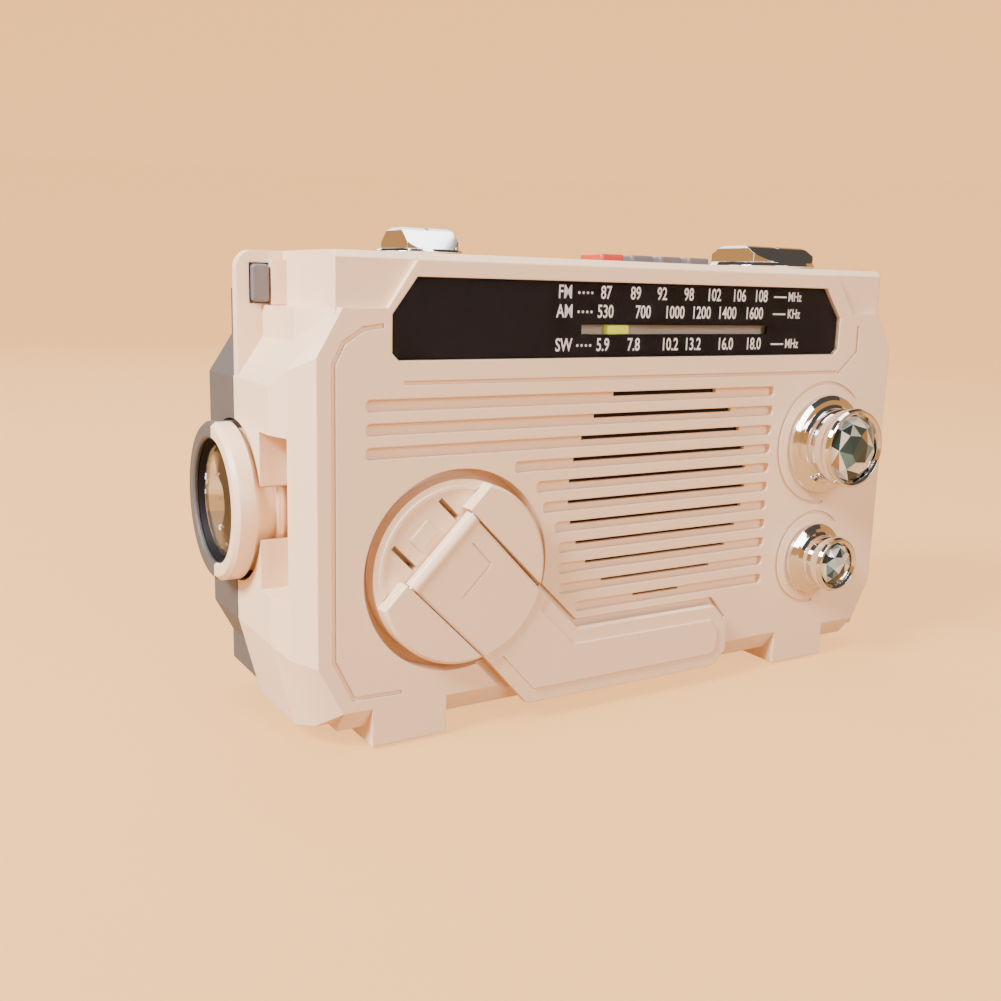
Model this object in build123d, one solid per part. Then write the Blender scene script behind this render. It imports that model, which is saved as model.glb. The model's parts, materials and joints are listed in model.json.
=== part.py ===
from build123d import *
import os
from math import acos, atan2, cos, degrees, hypot, pi, radians, sin, sqrt, tan

# Overall size (mm): 180 wide, 66 deep, 113 tall
FRONT = -20.3            # front plane
SPLIT = 13.7             # plane where the two shells meet
REAR = 33.0              # rear plane
TOP, BOTTOM = 107.0, 4.3
LEFT, RIGHT = -84.8, 90.0
MIRROR_X = 5.8           # mirror plane of the two flared sides
WALL = 2.4
FRONT_WALL = 2.8
INNER = FRONT + FRONT_WALL
RIM_FRONT = SPLIT - 3.0

# Crank
CX, CZ = -45.2, 38.3     # crank axis
WELL_R, WELL_FLOOR = 23.0, FRONT + 5.0
HUB_R, HUB_FLOOR, HUB_TOP = 20.6, FRONT + 0.4, FRONT - 3.6
ARM_BACK, ARM_FRONT = FRONT - 0.3, FRONT - 3.3
HINGE_S, HINGE_Y = 7.2, FRONT - 1.8
ARM_STEP = 0.5           # the arm's face is lower outside the hub
BAND = 10.4              # half width of the arm's root

# Gear train: module 1
GEAR_Y = (-12.6, -9.6)
WHEEL_Y = (-8.6, -6.6)
IX, IZ = CX, CZ + 26.0
DX, DZ = IX + 23.0 * cos(radians(-30)), IZ + 23.0 * sin(radians(-30))
PLATE_Y = (-5.0, -3.4)

# Controls
TUNE = (66.5, 61.1)
VOL = (65.3, 29.6)
TUNE_RIM, VOL_RIM, JEWEL_RISE = FRONT - 11.7, FRONT - 10.2, 1.0
SPEAKER = (12.6, 53.4)
KEY_X = (6.5, 15.8, 25.1, 34.4)
KEY_Y = 1.7
SEL_L, SEL_R, SEL_Y = -43.2, 63.9, 4.7
LIGHT_Y, LIGHT_Z = 14.7, 51.3
DIAL_Z = 91.3
POINTER_X = -3.1
SCREWS = ((-66.5, 12.0), (79.0, 14.0), (-66.5, 94.0), (78.0, 94.0))
ANT_Y, ANT_Z, ANT_X = 29.0, 103.0, 75.0
DOOR = (-40.0, 16.0, 12.0, 59.0)
PORT = (30.0, 62.0, 20.0, 42.0)
FEET = ((-66.0, -47.8), (54.0, 72.2))


def block(x0, x1, y0, y1, z0, z1):
    return Pos((x0 + x1) / 2, (y0 + y1) / 2, (z0 + z1) / 2) * Box(x1 - x0, y1 - y0, z1 - z0)


def poly(points):
    return make_face(Polyline(*points, close=True))


def slab_y(points, y0, y1):
    """Outline of (x, z) points, extruded from y0 to y1."""
    face = poly([(x, y0, z) for x, z in points])
    return extrude(face, amount=y1 - y0, dir=(0, 1, 0))


def slab_z(points, z0, z1):
    face = poly([(x, y, z0) for x, y in points])
    return extrude(face, amount=z1 - z0, dir=(0, 0, 1))


def slab_x(points, x0, x1):
    face = poly([(x0, y, z) for y, z in points])
    return extrude(face, amount=x1 - x0, dir=(1, 0, 0))


def rod_y(x, z, r, y0, y1):
    return Pos(x, (y0 + y1) / 2, z) * Rot(90, 0, 0) * Cylinder(r, abs(y1 - y0))


def rod_z(x, y, r, z0, z1):
    return Pos(x, y, (z0 + z1) / 2) * Cylinder(r, abs(z1 - z0))


def rod_x(y, z, r, x0, x1):
    return Pos((x0 + x1) / 2, y, z) * Rot(0, 90, 0) * Cylinder(r, abs(x1 - x0))


def turned_y(x, z, profile):
    """Profile of (radius, y) points turned about an axis along Y."""
    face = poly([(r, y, 0) for r, y in profile])
    return Pos(x, 0, z) * revolve(face, Axis.Y)


def turned_x(y, z, profile):
    face = poly([(x, r, 0) for r, x in profile])
    return Pos(0, y, z) * revolve(face, Axis.X)


def turned_z(x, y, profile):
    face = poly([(r, 0, h) for r, h in profile])
    return Pos(x, y, 0) * revolve(face, Axis.Z)


def rounded(x0, x1, z0, z1, r, y0, y1):
    return fillet(block(x0, x1, y0, y1, z0, z1).edges().filter_by(Axis.Y), r)


def band(points):
    """Points given along (s, t): s up and left of the crank axis, t up and right of it."""
    k = sqrt(0.5)
    return [(CX + k * (t - s), CZ + k * (t + s)) for s, t in points]


def save(shape, node):
    export_step(shape, "parts/" + node + ".step")


# ---- shells ---------------------------------------------------------------------------------

GUARD = [(15.0, -73.0), (15.0, -85.2), (15.5, -85.2), (15.5, -88.95), (14.2, -88.95), (14.2, -89.6),
         (14.7, -90.0), (17.1, -90.0), (18.1, -89.0), (18.1, -85.5), (17.1, -84.5), (16.5, -84.5), (16.5, -80.6),
         (17.7, -80.6), (17.7, -79.2), (16.5, -79.2), (16.5, -73.0)]
SOCKET = [(15.0, -73.0), (15.0, -85.2), (15.5, -85.2), (15.5, -88.95), (14.2, -88.95), (14.2, -89.6),
          (14.7, -90.0), (17.4, -90.0), (18.1, -89.3), (18.1, -73.0)]
FACE = [(-56.2, 105.4), (-63.0, 95.3), (-63.0, 28.0), (74.5, 28.0), (74.5, 95.3), (67.7, 105.4)]
REAR_OUTLINE = [(-74.7, TOP), (-77.9, 105.7), (-79.2, 102.5), (-79.2, 88.0), (LEFT, 79.3), (LEFT, 23.4), (-80.45, 15.2), (-80.45, 8.0),
                (-76.3, BOTTOM), (86.3, BOTTOM), (RIGHT, 8.0), (RIGHT, 79.3), (84.4, 88.0), (84.4, 102.5), (83.1, 105.7), (79.9, TOP)]
WINDOW = [(-56.2, 102.1), (-61.9, 94.4), (-61.9, 86.4), (-60.4, 84.9), (68.2, 84.9), (69.7, 86.4),
          (69.7, 94.4), (64.0, 102.1)]
ARM = band([(HINGE_S, BAND), (-17.9, 9.9)]) + [(-13.6, 20.9), (29.4, 20.8), (33.8, 15.8), (33.8, 8.4),
      (29.8, 4.8), (-27.6, 4.8)] + band([(-20.0, -BAND), (HINGE_S, -BAND)])


def grown(points, d, y0, y1):
    face = poly([(x, 0, z) for x, z in points])
    face = offset(face, d, kind=Kind.INTERSECTION)
    return Pos(0, y0, 0) * extrude(face, amount=y1 - y0, dir=(0, 1, 0))


def bumper(side):
    """Flared side of the front shell, in three sections."""
    rows = ((FRONT, [(-72.85, 95.6), (-73.2, 95.0), (-78.5, 85.7), (-78.5, 20.5), (-72.8, 9.6)]),
            (FRONT + 4.5, [(-74.6, 95.4), (-74.8, 93.2), (-82.9, 83.0), (-82.9, 21.8), (-77.5, 6.2)]),
            (FRONT + 11.5, [(-78.7, 95.2), (-78.7, 88.4), (-84.6, 79.3), (-84.6, 23.4), (-79.5, BOTTOM)]))
    outlines = []
    for y, edge in rows:
        edge = [(-30, edge[0][1])] + edge + [(-30, edge[-1][1])]
        if side > 0:
            edge = [(2 * MIRROR_X - x, z) for x, z in edge]
        outlines.append((y, edge))
    flare = loft([poly([(x, y, z) for x, z in edge]) for y, edge in outlines], ruled=True)
    y, edge = outlines[-1]
    return flare + slab_y(edge, y, SPLIT)


def front_outer():
    body = bumper(-1) + bumper(1)
    body += slab_y(FACE, FRONT, FRONT + 12)
    body += slab_x([(FRONT + 1.4, 105.6), (FRONT + 2.6, TOP), (SPLIT, TOP), (SPLIT, 60), (FRONT + 1.4, 60)],
                   -73.8, 85.4)
    body += slab_x([(FRONT, 30), (FRONT, 9.6), (FRONT + 4, BOTTOM), (SPLIT, BOTTOM), (SPLIT, 30)], -72.8, 84.2)
    body += rounded(LEFT + 0.4, RIGHT, 60, TOP, 4, RIM_FRONT, SPLIT)
    body += block(-77.1, -73.6, 8.5, SPLIT, 95.3, 105.0)
    return body & block(-100, RIGHT, -40, 40, -10, 120)


def cavity_front():
    pts = [(-71.4, 104.6), (-71.4, 7.0), (82.0, 7.0), (82.0, 24.0), (87.2, 24.0), (87.2, 80.0),
           (82.4, 84.0), (82.4, 104.6)]
    room = slab_y(pts, INNER, SPLIT + 1)
    room -= slab_x([(FRONT, 0), (FRONT + 7, 0), (FRONT + 7, 7.2), (INNER - 1, 12.6)], -80, 90)
    room += block(-82.2, -71.0, FRONT + 14, SPLIT + 1, 25.0, 31.0)
    room += block(-82.2, -71.0, FRONT + 14, SPLIT + 1, 72.5, 77.5)
    return room


def light_socket(profile, y0, y1):
    """Part of a turned torch surround between two Y planes."""
    return turned_x(LIGHT_Y, LIGHT_Z, profile) & block(-95, -60, y0, y1, 20, 80)


GRILLE_LEFT = (-67.7, -67.7, -67.7, -31.2, -25.2, -23.2, -19.8, -18.6, -18.4, -18.0, -13.1)


def grille_cuts():
    cuts = Part()
    for k, left in enumerate(GRILLE_LEFT):
        z = 76.35 - 5 * k
        cuts += rounded(left, 47.3, z - 2.0, z + 0.6, 1.0, FRONT - 1, FRONT + 1.6)
        half = 28.0 ** 2 - (z - SPEAKER[1]) ** 2
        if half > 30:
            half = sqrt(half)
            cuts += block(SPEAKER[0] - half, SPEAKER[0] + half, FRONT, INNER + 1, z - 0.6, z + 0.6)
    return cuts


def ring_y(x, z, r, w, y0, y1):
    return rod_y(x, z, r + w / 2, y0, y1) - rod_y(x, z, r - w / 2, y0 - 1, y1 + 1)


def line_cut(points, w, depth, y=FRONT):
    """Engraved line on a plane of constant Y."""
    cut = Part()
    for (x0, z0), (x1, z1) in zip(points, points[1:]):
        length, ang = hypot(x1 - x0, z1 - z0), degrees(atan2(z1 - z0, x1 - x0))
        cut += Pos((x0 + x1) / 2, y, (z0 + z1) / 2) * Rot(0, -ang, 0) * Box(length + w, 2 * depth, w)
    return cut


def feet(y0, y1):
    solid = Part()
    for x0, x1 in FEET:
        solid += block(x0, x1, y0, y1, 0.8, 10)
    return solid


def front_housing():
    body = front_outer()
    body -= block(-95, -77.5, FRONT + 5, -3.0, 34.5, 69)
    body -= rod_x(LIGHT_Y, LIGHT_Z, 18.6, -95, -77.5)
    well = rod_y(CX, CZ, WELL_R + 2.0, FRONT + 1, WELL_FLOOR + 2)
    shell = body - cavity_front()
    shell += well
    shell += block(-78, -71.4, -6, SPLIT, 34, 70)
    shell -= rod_x(LIGHT_Y, LIGHT_Z, 15.6, -95, -60)
    shell += light_socket(GUARD, -10, SPLIT)
    shell += feet(FRONT, SPLIT) - block(-90, 90, FRONT + 3, SPLIT + 1, 6, 20)
    for x, z in SCREWS:
        shell += rod_y(x, z, 3.6, INNER - 0.5, SPLIT)
        shell -= rod_y(x, z, 1.3, -6, SPLIT + 1)
    for x, z in ((IX, IZ), (-66.0, 22.0), (-14.0, 82.0)):
        shell += rod_y(x, z, 3.0, INNER - 0.5, GEAR_Y[0] - 0.4)
    for x, z in ((-66.0, 22.0), (-14.0, 82.0)):
        shell += rod_y(x, z, 2.6, INNER - 0.5, PLATE_Y[0])
    shell -= rod_y(CX, CZ, WELL_R, FRONT - 8, WELL_FLOOR)
    shell -= rod_y(CX, CZ, 5.0, WELL_FLOOR - 1, WELL_FLOOR + 5)
    shell -= rod_y(IX, IZ, 1.5, INNER + 0.4, 0)
    shell -= grille_cuts()
    shell -= grown(ARM, 1.8, FRONT - 1, FRONT + 1.1)
    shell -= slab_y(WINDOW, FRONT - 1, FRONT + 2.2)
    shell -= grown(WINDOW, -1.5, FRONT, INNER + 1)
    shell -= line_cut([(-58.6, 80.2), (70.6, 80.2), (76.8, 85.6), (76.8, 92.0)], 0.8, 0.6)
    shell -= line_cut([(-64.2, 92.0), (-68.2, 91.4), (-72.6, 88.6), (-74.8, 84.4), (-74.8, 21.5), (-70.4, 12.6),
                       (-59.4, 12.3)], 0.9, 0.6)
    for (x, z), r in ((TUNE, 16.3), (VOL, 12.6)):
        arc = ring_y(x, z, r, 0.8, FRONT - 1, FRONT + 0.5)
        shell -= arc - block(x + 2, x + 40, FRONT - 2, FRONT + 2, z - 40, z + r * 0.7)
        shell -= rod_y(x, z, 3.4, FRONT - 1, INNER + 1)
    for x in KEY_X:
        shell -= block(x - 3.8, x + 3.8, KEY_Y - 4.9, KEY_Y + 4.9, 104, 108)
    shell -= rod_z(SEL_L, SEL_Y, 3.05, 100, 110)
    shell -= rod_z(SEL_R, SEL_Y, 3.05, 100, 110)
    shell -= block(-81.6, -77.1, 5, SPLIT - 0.6, 95.5, 104.3)
    shell -= block(-77.6, -71.0, 10.3, SPLIT - 0.5, 97.8, 101.2)
    return shell


def rear_housing():
    outer = slab_y(REAR_OUTLINE, SPLIT, REAR)
    outer = chamfer(outer.faces().sort_by(Axis.Y)[-1].edges(), 1.8)
    outer -= rod_x(LIGHT_Y, LIGHT_Z, 18.6, -95, -80) & block(-95, -70, 0, 31.0, 20, 80)
    outer += light_socket(SOCKET, SPLIT, REAR)
    room = grown(REAR_OUTLINE, -WALL, SPLIT - 1, 23.5)
    room += grown(REAR_OUTLINE, -WALL, SPLIT - 1, REAR - WALL) & block(-95, 95, 0, 40, 0, 96.0)
    room -= block(-95, -77.6, 10, 40, 31.6, 72.4)
    shell = outer - room
    shell -= rod_x(LIGHT_Y, LIGHT_Z, 15.0, -86, -60)
    shell -= block(-90.0, 82.0, 25.2, 40, 98.6, 120)
    x0, x1, z0, z1 = DOOR
    tray = block(x0 - 2.2, x1 + 2.2, 12.2, 31.5, z0 - 3.2, z1 + 2.2)
    tray -= block(x0 - 0.7, x1 + 0.7, 13.7, 40, z0 - 1.7, z1 + 0.7)
    shell += tray
    shell -= block(x0 - 0.25, x1 + 0.25, 25, 40, z0 - 0.9, z1 + 0.25)
    shell -= rod_x(31.3, z0 + 1.6, 0.95, x0 - 1.9, x1 + 1.9)
    shell -= block(-60.2, 65.2, REAR - 1.0, 40, 65.8, 92.2)
    px0, px1, pz0, pz1 = PORT
    shell -= block(px0 - 0.25, px1 + 0.25, REAR - 1.7, 40, pz0 - 0.25, pz1 + 0.25)
    shell -= block(px0 + 2, px1 - 2, 25, 40, pz0 + 2, pz1 - 4.5)
    for x, z in SCREWS:
        shell += rod_y(x, z, 4.6, SPLIT, REAR - 1)
        shell -= rod_y(x, z, 3.2, 24, 40)
        shell -= rod_y(x, z, 1.6, 10, 30)
    for x in (-22.0, 10.0):
        shell += block(x, x + 3, 13.9, 31.0, 84.0, 96.5) - rod_x(18.5, 90.0, 4.05, x - 1, x + 4)
    shell += rod_y(ANT_X, ANT_Z, 4.6, 21.5, 25.3)
    shell -= rod_y(ANT_X, ANT_Z, 2.05, 20, 26)
    shell += feet(SPLIT, 30.0) - block(-90, 90, SPLIT, 31, 6, 20)
    return shell


def foot_pads():
    pads = Part()
    for x0, x1 in FEET:
        for y0, y1 in ((FRONT + 1.6, FRONT + 14), (16.0, 28.5)):
            pads += fillet(block(x0 + 1.8, x1 - 1.8, y0, y1, 0, 0.8).edges().filter_by(Axis.Z), 1.5)
    return pads


def case_screws():
    out = Part()
    for x, z in SCREWS:
        one = rod_y(x, z, 2.8, 24.0, 26.0) + rod_y(x, z, 1.25, -4.0, 24.2)
        one -= block(x - 2.0, x + 2.0, 25.2, 27, z - 0.35, z + 0.35)
        one -= block(x - 0.35, x + 0.35, 25.2, 27, z - 2.0, z + 2.0)
        out += one
    return out


# ---- dial -----------------------------------------------------------------------------------

def dial_window():
    return grown(WINDOW, -0.12, FRONT + 0.3, FRONT + 1.3)


def dial_scale():
    plate = grown(WINDOW, -0.12, FRONT + 1.4, FRONT + 2.15)
    return plate - block(-13.6, 44.4, FRONT, INNER, DIAL_Z - 1.1, DIAL_Z + 1.1)


def dial_light_bar():
    bar = block(-16.0, 47.0, FRONT + 3.4, FRONT + 4.6, DIAL_Z - 1.1, DIAL_Z + 1.1)
    for x in (-18.5, 47.0):
        bar += block(x, x + 2.5, FRONT + 2.85, FRONT + 4.6, DIAL_Z - 1.1, DIAL_Z + 1.1)
    return bar


def dial_pointer():
    x0, x1 = POINTER_X - 3.05, POINTER_X + 3.05
    shape = block(x0, x1, FRONT + 1.5, FRONT + 3.0, DIAL_Z - 1.0, DIAL_Z + 1.0)
    shape += block(x0, x1, FRONT + 2.4, FRONT + 3.0, DIAL_Z - 1.0, DIAL_Z + 3.4)
    shape += block(x0, x1, FRONT + 2.4, FRONT + 8.6, DIAL_Z + 2.0, DIAL_Z + 3.4)
    shape += block(x0, x1, FRONT + 6.0, FRONT + 8.6, DIAL_Z - 2.0, DIAL_Z + 3.4)
    return shape - rod_x(FRONT + 7.3, DIAL_Z, 0.95, x0 - 1, x1 + 1)


def pointer_rail():
    rail = rod_x(FRONT + 7.3, DIAL_Z, 0.9, -21.0, 52.0)
    for x in (-23.5, 49.5):
        rail += block(x, x + 3, FRONT + 2.85, FRONT + 8.4, DIAL_Z - 1.6, DIAL_Z + 1.6)
    return rail


# ---- speaker --------------------------------------------------------------------------------

def grille_cloth():
    return rod_y(*SPEAKER, 29.0, INNER + 0.05, INNER + 0.45)


def speaker_frame():
    y = INNER + 0.5
    return turned_y(*SPEAKER, [(29.0, y), (29.0, y + 1.6), (26.6, y + 1.6), (16.6, y + 12.0), (16.6, y + 13.2),
                               (6.0, y + 13.2), (6.0, y + 12.4), (15.8, y + 12.4), (15.8, y + 11.7),
                               (25.8, y + 0.9), (25.8, y)])


def speaker_cone():
    y = INNER + 1.0
    return turned_y(*SPEAKER, [(25.6, y), (25.6, y + 0.5), (8.2, y + 9.6), (5.4, y + 9.6), (5.4, y + 7.6),
                               (2.5, y + 6.6), (0, y + 6.4), (0, y + 5.8), (2.8, y + 6.0), (8.0, y + 8.8),
                               (22.6, y + 0.9), (23.4, y - 0.2), (24.6, y - 0.3)])


def speaker_magnet():
    y = INNER + 13.75
    return rod_y(*SPEAKER, 15.0, y, y + 7.0) - ring_y(*SPEAKER, 15.0, 1.6, y + 3.0, y + 3.6)


# ---- crank and dynamo -----------------------------------------------------------------------

def tooth_outline(n, add, ded, slack):
    """Involute gear outline of module 1 with tooth 0 on the local x axis."""
    rp = n / 2
    rb, rt, rf = rp * cos(radians(20)), rp + add, rp - ded
    inv20 = tan(radians(20)) - radians(20)

    def half(r):
        a = acos(min(1.0, rb / max(r, rb)))
        return pi / (2 * n) - slack / (2 * rp) + inv20 - (tan(a) - a)

    start = max(rb, rf)
    radii = [start + (rt - start) * i / 4 for i in range(5)]
    flank = [(rf, half(start))] + [(r, half(r)) for r in radii] if rf < rb else [(r, half(r)) for r in radii]
    pts = []
    for k in range(n):
        c = 2 * pi * k / n
        pts += [(r, c - h) for r, h in flank] + [(r, c + h) for r, h in reversed(flank)]
    return [(r * cos(a), r * sin(a)) for r, a in pts]


def gear(n, x, z, y, phase, bore, add, ded=1.2, slack=0.45):
    face = poly([(a, y[0], b) for a, b in tooth_outline(n, add, ded, slack)])
    solid = extrude(face, amount=y[1] - y[0], dir=(0, 1, 0))
    return Pos(x, 0, z) * (Rot(0, -phase, 0) * (solid - rod_y(0, 0, bore, y[0] - 1, y[1] + 1)))


def crank_hub():
    hub = rod_y(CX, CZ, HUB_R, HUB_TOP, WELL_FLOOR - 0.6)
    hub = chamfer(hub.faces().sort_by(Axis.Y)[0].edges(), 0.7)
    clear = band([(30, BAND + 0.35), (HINGE_S + 2.4, BAND + 0.35), (HINGE_S + 2.4, 30), (40, 30), (40, -30),
                  (HINGE_S + 2.4, -30), (HINGE_S + 2.4, -BAND - 0.35), (30, -BAND - 0.35)])
    hub -= slab_y(band([(30, BAND + 0.35), (-30, BAND + 0.35), (-30, -BAND - 0.35), (30, -BAND - 0.35)]),
                  -40, HUB_FLOOR)
    hub -= slab_y(band([(40, 40), (HINGE_S + 2.4, 40), (HINGE_S + 2.4, -40), (40, -40)]), -40, HUB_FLOOR)
    rim = ring_y(CX, CZ, 18.8, 0.9, HUB_FLOOR - 0.4, HUB_FLOOR + 0.3)
    hub += rim & slab_y(band([(40, 40), (HINGE_S + 2.6, 40), (HINGE_S + 2.6, -40), (40, -40)]), -40, 0)
    for s, t in ((16.2, -6.5), (15.0, 8.2)):
        hub -= slab_y(band([(s, t + 0.6), (8.4, t + 0.6), (8.4, t - 0.6), (s, t - 0.6)]), -40, WELL_FLOOR)
    hub += slab_y(band([(14.2, 3.0), (10.4, 3.0), (10.4, -3.0), (14.2, -3.0)]), HUB_FLOOR - 0.35, HUB_FLOOR + 0.2)
    hub -= Pos(CX - HINGE_S * sqrt(0.5), HINGE_Y, CZ + HINGE_S * sqrt(0.5)) * Rot(0, 45, 0) * Cylinder(1.05, 31)
    hub += rod_y(CX, CZ, 6.0, WELL_FLOOR - 0.7, WELL_FLOOR - 0.3)
    return hub - rod_y(CX, CZ, 3.0, -18.0, 0)


def crank_hinge_pin():
    return Pos(CX - HINGE_S * sqrt(0.5), HINGE_Y, CZ + HINGE_S * sqrt(0.5)) * Rot(0, 45, 0) * Cylinder(1.05, 30.6)


def box_around(points, margin):
    """Rectangle that holds an outline."""
    xs, zs = zip(*points)
    x0, x1, z0, z1 = min(xs) - margin, max(xs) + margin, min(zs) - margin, max(zs) + margin
    return [(x0, z0), (x1, z0), (x1, z1), (x0, z1)]


def crank_arm():
    arm = slab_y(ARM, ARM_FRONT, ARM_BACK)
    arm = chamfer(arm.faces().sort_by(Axis.Y)[0].edges(), 0.5)
    beyond = slab_y(box_around(ARM, 5), ARM_FRONT - 1, ARM_FRONT + ARM_STEP) - rod_y(CX, CZ, HUB_R - 0.2, -40, 0)
    arm -= beyond
    border = slab_y(box_around(ARM, 5), ARM_FRONT - 1, ARM_FRONT + ARM_STEP + 0.4) - grown(ARM, -3.4, -40, 0)
    arm -= border - rod_y(CX, CZ, HUB_R + 2.6, -40, 0)
    arm -= line_cut([(-43.65, 45.0), (-38.94, 39.9), (-45.8, 33.0)], 0.4, 0.3, ARM_FRONT)
    axis = Pos(CX - HINGE_S * sqrt(0.5), HINGE_Y, CZ + HINGE_S * sqrt(0.5)) * Rot(0, 45, 0)
    arm += axis * Cylinder(1.85, 2 * BAND)
    return arm - axis * Cylinder(1.1, 40)


def crank_shaft():
    return rod_y(CX, CZ, 3.0, -18.0, PLATE_Y[1] + 1.2)


def crank_bushing():
    y = WELL_FLOOR
    return turned_y(CX, CZ, [(3.05, y), (5.0, y), (5.0, y + 2.0), (5.8, y + 2.0), (5.8, y + 2.5), (3.05, y + 2.5)])


def crank_gear():
    wheel = gear(40, CX, CZ, GEAR_Y, 90, 3.0, 0.6)
    for a in range(0, 360, 60):
        wheel -= rod_y(CX + 11.5 * cos(radians(a)), CZ + 11.5 * sin(radians(a)), 3.6, -20, 0)
    return wheel


def idler_gear():
    small = gear(12, IX, IZ, (GEAR_Y[0], WHEEL_Y[0] + 0.1), 285, 1.5, 0.9)
    large = gear(36, IX, IZ, WHEEL_Y, -30, 1.5, 0.6)
    for a in range(0, 360, 60):
        large -= rod_y(IX + 11.0 * cos(radians(a)), IZ + 11.0 * sin(radians(a)), 3.0, -20, 0)
    return (small + large) - rod_y(IX, IZ, 1.55, -20, 0)


def idler_pin():
    return rod_y(IX, IZ, 1.5, INNER + 0.5, PLATE_Y[1])


def gearbox_plate():
    pts = [(-69.5, 18.0), (-69.5, 30.0), (-66.0, 62.0), (-60.0, 86.0), (-10.0, 86.0), (-10.0, 60.0),
           (-22.0, 36.0), (-36.0, 18.0)]
    plate = slab_y(pts, *PLATE_Y)
    plate -= rod_y(CX, CZ, 3.05, -10, 0)
    plate -= rod_y(IX, IZ, 1.5, -10, 0)
    plate -= rod_y(DX, DZ, 3.2, -10, 0)
    return plate


def dynamo_housing():
    y = PLATE_Y[1]
    can = rod_y(DX, DZ, 12.0, y + 0.02, 11.0) - rod_y(DX, DZ, 10.8, y + 1.2, 10.0)
    can -= rod_y(DX, DZ, 1.25, y - 1, y + 3)
    return can - rod_y(DX, DZ, 1.25, 9, 12)


def dynamo_rotor():
    y = PLATE_Y[1]
    rotor = rod_y(DX, DZ, 1.2, WHEEL_Y[0] - 0.4, 10.9) + rod_y(DX, DZ, 8.0, y + 2.2, 8.8)
    for a in range(0, 360, 60):
        rotor -= rod_y(DX + 8.2 * cos(radians(a)), DZ + 8.2 * sin(radians(a)), 1.6, -10, 20)
    return rotor + gear(10, DX, DZ, WHEEL_Y, 168, 1.0, 0.9, 1.1)


# ---- knobs ----------------------------------------------------------------------------------

def round_knob(x, z, flange, cap, tip):
    """Chrome knob: flange, waist, flared cap and a seat for its insert."""
    y = FRONT - 0.4
    return turned_y(x, z, [(0, y), (flange - 0.5, y), (flange, y - 0.6), (flange - 0.2, y - 1.5),
                           (flange - 1.4, y - 2.2), (cap + 0.2, y - 2.6), (cap - 0.6, y - 3.4), (cap - 0.7, y - 4.6),
                           (cap - 0.1, tip + 2.0), (cap, tip + 1.0), (cap - 0.4, tip + 0.2), (cap - 0.9, tip),
                           (cap - 1.5, tip + 0.7), (cap - 1.5, tip + 1.9), (0, tip + 1.9)])


def jewel(x, z, r, rim):
    """Faceted domed insert: a crown of flat facets around a table."""
    faces = []
    for share, y in ((1.0, rim + 1.9), (1.0, rim + 0.5), (0.86, rim - 0.2), (0.5, rim - JEWEL_RISE)):
        ring = [(share * r * cos(pi * k / 6), share * r * sin(pi * k / 6)) for k in range(12)]
        faces.append(poly([(x + a, y, z + b) for a, b in ring]))
    return loft(faces, ruled=True)


def tuning_knob():
    return round_knob(*TUNE, 13.3, 10.5, TUNE_RIM) - rod_y(*TUNE, 3.0, FRONT - 8, 0)


def tuning_jewel():
    return jewel(*TUNE, 8.9, TUNE_RIM)


def tuning_drum():
    drum = rod_y(*TUNE, 3.0, FRONT - 8, -5.2) + rod_y(*TUNE, 16.2, -12.0, -9.4)
    return drum - ring_y(*TUNE, 16.4, 1.8, -11.3, -10.1)


def tuning_capacitor():
    x, z = TUNE
    return block(x - 12.5, x + 12.5, -5.0, 8.4, z - 12, z + 12) - block(x - 11, x + 11, -3, 6.4, z - 13, z - 6)


def volume_knob():
    return round_knob(*VOL, 9.8, 7.4, VOL_RIM) + rod_y(*VOL, 3.0, FRONT - 7, 1.0)


def volume_jewel():
    return jewel(*VOL, 5.8, VOL_RIM)


def volume_pot():
    x, z = VOL
    pot = rod_y(x, z, 8.2, -0.5, 7.0) + block(x - 8.2, x + 8.2, 7.0, 8.4, z - 8.2, z + 8.2)
    return pot - rod_y(x, z, 3.05, -1, 1.4)


# ---- top controls ---------------------------------------------------------------------------

def selector(x, r, width, base_top):
    """Turning disc with a wedge grip and a shaft."""
    y = SEL_Y
    knob = turned_z(x, y, [(0, TOP + 0.25), (r - 0.4, TOP + 0.25), (r, TOP + 0.7), (r - 0.5, base_top), (0, base_top)])
    side = [(-r * 0.86, base_top - 0.2), (-r * 0.34, 113.0), (r * 0.34, 113.0), (r * 0.86, base_top - 0.2)]
    grip = slab_x([(y + a, h) for a, h in side], x - width / 2, x + width / 2)
    grip = chamfer(grip.edges().group_by(Axis.Z)[-1], 0.7)
    grip &= rod_z(x, y, r - 0.6, 100, 120)
    grip -= block(x - 0.5, x + 0.5, y - r, y + r, 112.5, 114)
    return knob + grip + rod_z(x, y, 3.0, 98.4, TOP + 0.5)


def rotary_switch(x):
    body = rod_z(x, SEL_Y, 7.6, 90.0, 101.0) + block(x - 8, x + 8, SEL_Y - 7.6, SEL_Y + 7.6, 88.6, 90.0)
    return body - rod_z(x, SEL_Y, 3.05, 98.2, 102)


def key(x):
    cap = block(x - 3.6, x + 3.6, KEY_Y - 4.7, KEY_Y + 4.7, 102.0, 109.0)
    cap = fillet(cap.edges().filter_by(Axis.Z), 0.8)
    cap = fillet(cap.faces().sort_by(Axis.Z)[-1].edges(), 0.6)
    return cap + block(x - 4.4, x + 4.4, KEY_Y - 5.6, KEY_Y + 5.6, 101.0, 102.6)


def key_board():
    board = block(0.5, 40.5, -4.5, 8.0, 96.8, 98.2)
    for x in KEY_X:
        board += block(x - 3, x + 3, KEY_Y - 3, KEY_Y + 3, 98.2, 99.2) + rod_z(x, KEY_Y, 1.6, 99.1, 99.7)
    for x in (1.5, 38.0):
        board += block(x, x + 1.5, 4.0, 7.9, 84.5, 97.0)
    return board


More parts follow.
